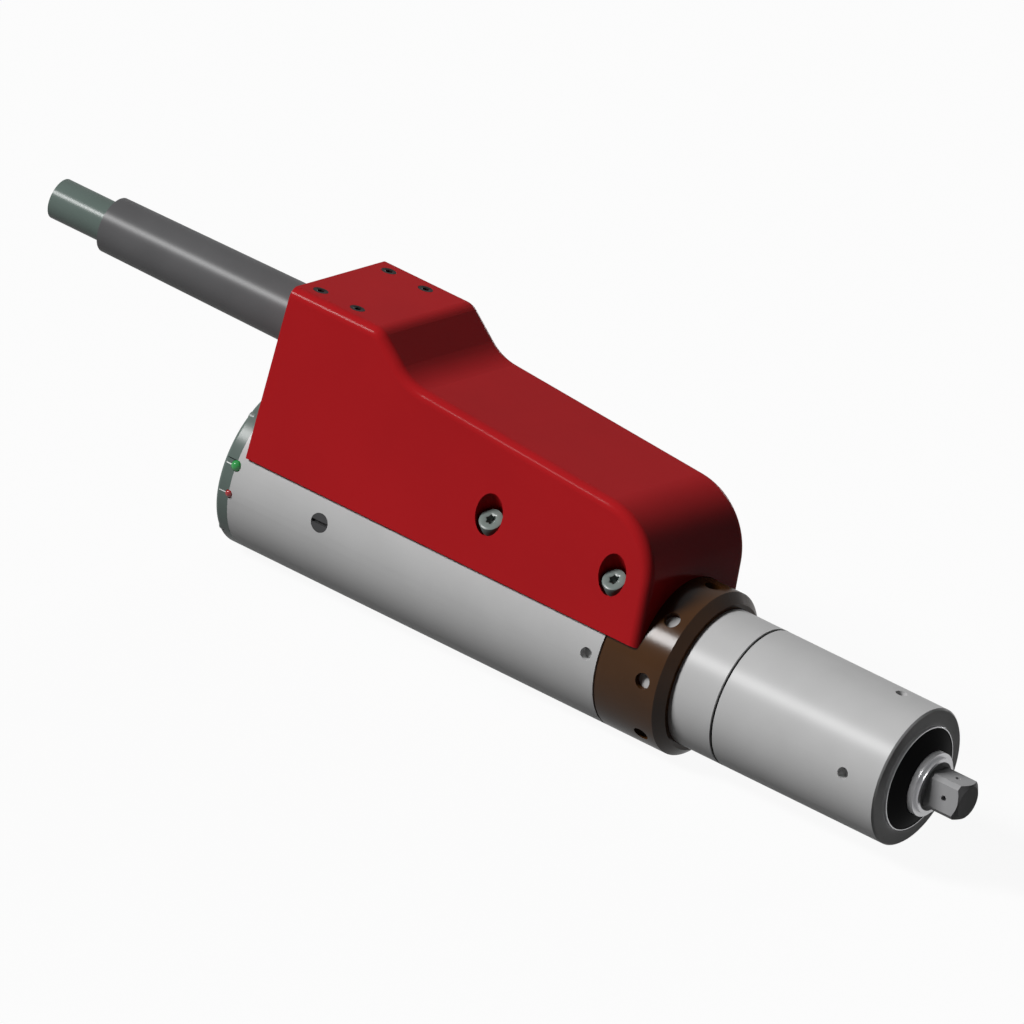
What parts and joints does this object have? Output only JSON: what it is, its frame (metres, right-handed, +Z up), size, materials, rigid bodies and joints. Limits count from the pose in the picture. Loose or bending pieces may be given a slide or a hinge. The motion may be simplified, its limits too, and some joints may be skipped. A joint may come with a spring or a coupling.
{
  "type": "robot screwdriving spindle",
  "caption": "Slim motor-driven screwdriving spindle with a planetary gearhead, torque transducer, square drive, top cover and rear connector stalk.",
  "frame": {"origin": "on the spindle axis, halfway along the gear case's clamping barrel", "axes": "+X along the spindle towards the square drive, +Z up through the cover, +Y to the side away from the lamps"},
  "size_m": [0.4062, 0.0632, 0.1047],
  "materials": {
    "barrel_aluminium": "satin anodised, light grey",
    "cap_metal": "satin, green-grey",
    "browned_steel": "browned and oiled",
    "black_steel": "black oxide",
    "bright_steel": "ground",
    "drive_steel": "hardened, dark satin",
    "gear_steel": "ground teeth",
    "bearing_steel": "polished",
    "cover_red": "satin moulded red",
    "sleeve_grey": "dark grey moulded",
    "lamp_green": "clear green lens",
    "lamp_red": "clear red lens",
    "screw_steel": "plated",
    "plug_steel": "dark plated",
    "lamination": "stacked sheets",
    "copper": "enamelled wire",
    "magnet": "nickel plated",
    "bracket_aluminium": "machined",
    "seal_rubber": "oil proof",
    "board_green": "lacquered",
    "component_black": "moulded",
    "brass_bright": "bright"
  },
  "bodies": {
    "housing": {"motor_housing": "barrel_aluminium", "rear_cap": "cap_metal", "rear_cap_screws": "screw_steel", "status_lamp_green": "lamp_green", "status_lamp_red": "lamp_red", "service_plug": "plug_steel", "stator_core": "lamination", "stator_windings": "copper", "rear_bearing_bracket": "bracket_aluminium", "resolver_stator": "lamination", "rotor_rear_bearing_outer_race": "bearing_steel", "rotor_front_bearing_outer_race": "bearing_steel", "output_rear_bearing_outer_race": "bearing_steel", "output_front_bearing_outer_race": "bearing_steel", "bearing_spacer": "bright_steel", "coupling_nut": "browned_steel", "transducer_housing": "barrel_aluminium", "torque_transducer": "bracket_aluminium", "gear_case": "barrel_aluminium", "ring_gear": "gear_steel", "nose_ring": "black_steel", "shaft_seal": "seal_rubber", "cover": "cover_red", "cover_screws": "screw_steel", "top_screws": "screw_steel", "connector_bracket": "bracket_aluminium", "connector_sleeve": "sleeve_grey", "connector_shell": "cap_metal", "contact_insert": "component_black", "contact_pins": "brass_bright", "sleeve_lock_nut": "brass_bright", "control_board": "board_green", "board_spacers": "brass_bright", "board_components": "component_black", "wire_grommet": "seal_rubber", "wire_loom": "seal_rubber"},
    "rotor": {"rotor_shaft": "bright_steel", "rotor_core": "lamination", "rotor_magnets": "magnet", "resolver_rotor": "lamination", "sun_gear_1": "gear_steel", "rotor_rear_bearing_inner_race": "bearing_steel", "rotor_front_bearing_inner_race": "bearing_steel"},
    "first_carrier": {"carrier_1": "gear_steel", "planet_pins_1": "bright_steel"},
    "output": {"output_shaft": "drive_steel", "shaft_collar": "bright_steel", "lock_ring": "bright_steel", "race_spacer": "bright_steel", "planet_pins_2": "bright_steel", "output_rear_bearing_inner_race": "bearing_steel", "output_front_bearing_inner_race": "bearing_steel"},
    "planet_1_a_gear": {"planet_1_a": "gear_steel"},
    "planet_1_b_gear": {"planet_1_b": "gear_steel"},
    "planet_1_c_gear": {"planet_1_c": "gear_steel"},
    "planet_2_a_gear": {"planet_2_a": "gear_steel"},
    "planet_2_b_gear": {"planet_2_b": "gear_steel"},
    "planet_2_c_gear": {"planet_2_c": "gear_steel"}
  },
  "joints": [
    {"name": "rotor_spin", "type": "hinge", "parent": "housing", "child": "rotor", "pos_m": [0, 0, 0], "axis": [1, 0, 0], "continuous": true},
    {"name": "first_carrier_spin", "type": "hinge", "parent": "housing", "child": "first_carrier", "pos_m": [0, 0, 0], "axis": [1, 0, 0], "continuous": true},
    {"name": "output_spin", "type": "hinge", "parent": "housing", "child": "output", "pos_m": [0, 0, 0], "axis": [1, 0, 0], "continuous": true},
    {"name": "planet_1_a_spin", "type": "hinge", "parent": "first_carrier", "child": "planet_1_a_gear", "pos_m": [0, 0, -0.012], "axis": [1, 0, 0], "continuous": true},
    {"name": "planet_1_b_spin", "type": "hinge", "parent": "first_carrier", "child": "planet_1_b_gear", "pos_m": [0, 0.01039, 0.006], "axis": [1, 0, 0], "continuous": true},
    {"name": "planet_1_c_spin", "type": "hinge", "parent": "first_carrier", "child": "planet_1_c_gear", "pos_m": [0, -0.01039, 0.006], "axis": [1, 0, 0], "continuous": true},
    {"name": "planet_2_a_spin", "type": "hinge", "parent": "output", "child": "planet_2_a_gear", "pos_m": [0, 0, -0.012], "axis": [1, 0, 0], "continuous": true},
    {"name": "planet_2_b_spin", "type": "hinge", "parent": "output", "child": "planet_2_b_gear", "pos_m": [0, 0.01039, 0.006], "axis": [1, 0, 0], "continuous": true},
    {"name": "planet_2_c_spin", "type": "hinge", "parent": "output", "child": "planet_2_c_gear", "pos_m": [0, -0.01039, 0.006], "axis": [1, 0, 0], "continuous": true}
  ],
  "couplings": [
    {"joint": "first_carrier_spin", "follows": "rotor_spin", "ratio": 0.25},
    {"joint": "output_spin", "follows": "rotor_spin", "ratio": 0.0625},
    {"joint": "planet_1_a_spin", "follows": "rotor_spin", "ratio": -0.75},
    {"joint": "planet_1_b_spin", "follows": "rotor_spin", "ratio": -0.75},
    {"joint": "planet_1_c_spin", "follows": "rotor_spin", "ratio": -0.75},
    {"joint": "planet_2_a_spin", "follows": "rotor_spin", "ratio": -0.1875},
    {"joint": "planet_2_b_spin", "follows": "rotor_spin", "ratio": -0.1875},
    {"joint": "planet_2_c_spin", "follows": "rotor_spin", "ratio": -0.1875}
  ]
}
